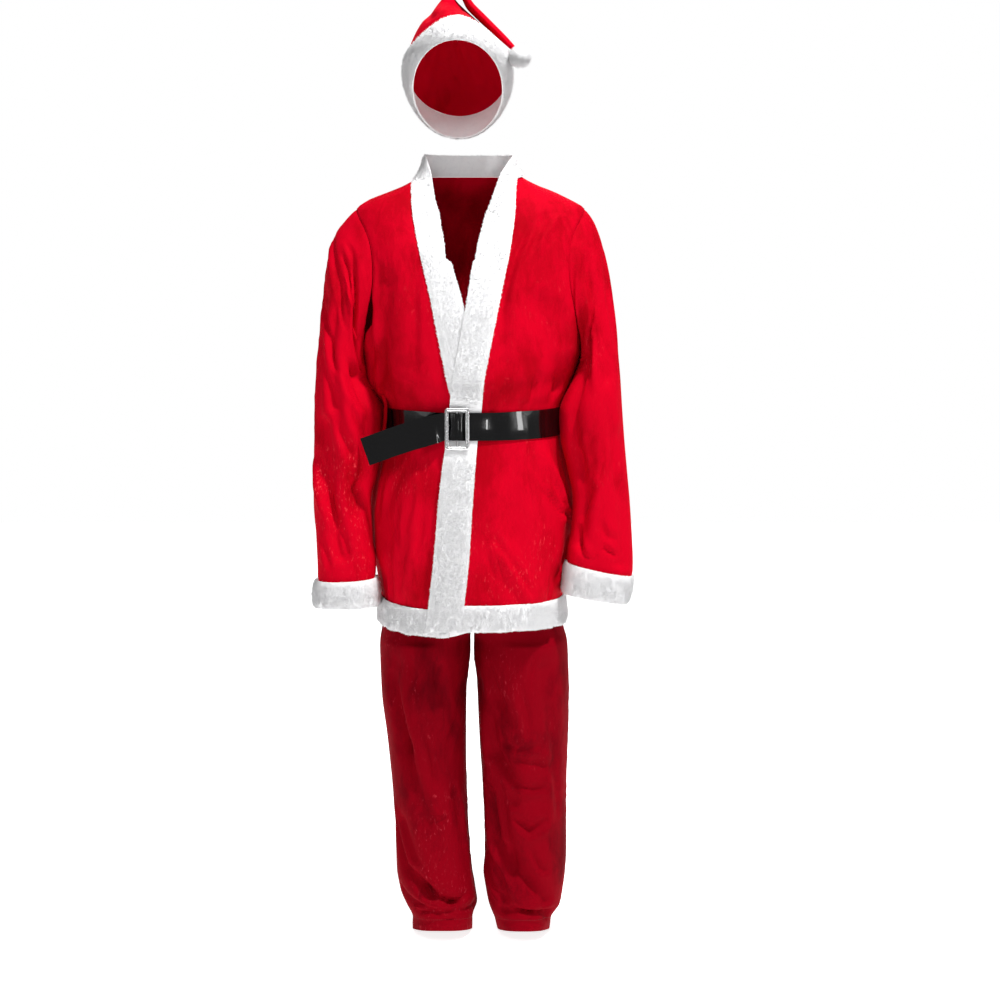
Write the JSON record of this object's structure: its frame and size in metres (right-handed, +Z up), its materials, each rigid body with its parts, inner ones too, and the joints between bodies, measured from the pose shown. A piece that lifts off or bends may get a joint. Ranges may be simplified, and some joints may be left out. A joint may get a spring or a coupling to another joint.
{
  "type": "santa suit",
  "caption": "Red crushed-velvet jacket with white plush trim, black belt with a slide buckle, matching trousers and a folded hat with a pompom, in the hollow form of a standing wearer.",
  "frame": {"origin": "between the shoulders, in the middle of the jacket at the height where a hanger or the wearer's shoulders carry it", "axes": "+Z up along the standing wearer, the front faces -Y, the wearer's left side is +X"},
  "size_m": [0.5743, 0.3123, 1.7133],
  "materials": {
    "red_velvet": "crushed velvet pile with shiny streaks",
    "white_plush": "short dense plush",
    "black_vinyl": "smooth glossy vinyl",
    "silver_buckle": "bright plated"
  },
  "bodies": {
    "root": {"jacket_front_right": "red_velvet", "jacket_front_left": "red_velvet", "jacket_back": "red_velvet", "sleeve_right": "red_velvet", "sleeve_left": "red_velvet", "trouser_front_right": "red_velvet", "trouser_back_right": "red_velvet", "trouser_front_left": "red_velvet", "trouser_back_left": "red_velvet", "trouser_waistband": "red_velvet", "belt_loop_right": "red_velvet", "belt_loop_left": "red_velvet", "hat_crown_front": "red_velvet", "hat_crown_back": "red_velvet", "front_band_right": "white_plush", "front_band_left": "white_plush", "hem_band_right": "white_plush", "hem_band_left": "white_plush", "hem_band_back": "white_plush", "neck_band": "white_plush", "cuff_right": "white_plush", "cuff_left": "white_plush", "hat_band": "white_plush", "hat_pompom": "white_plush", "belt_strap": "black_vinyl", "belt_buckle": "silver_buckle"}
  },
  "joints": []
}
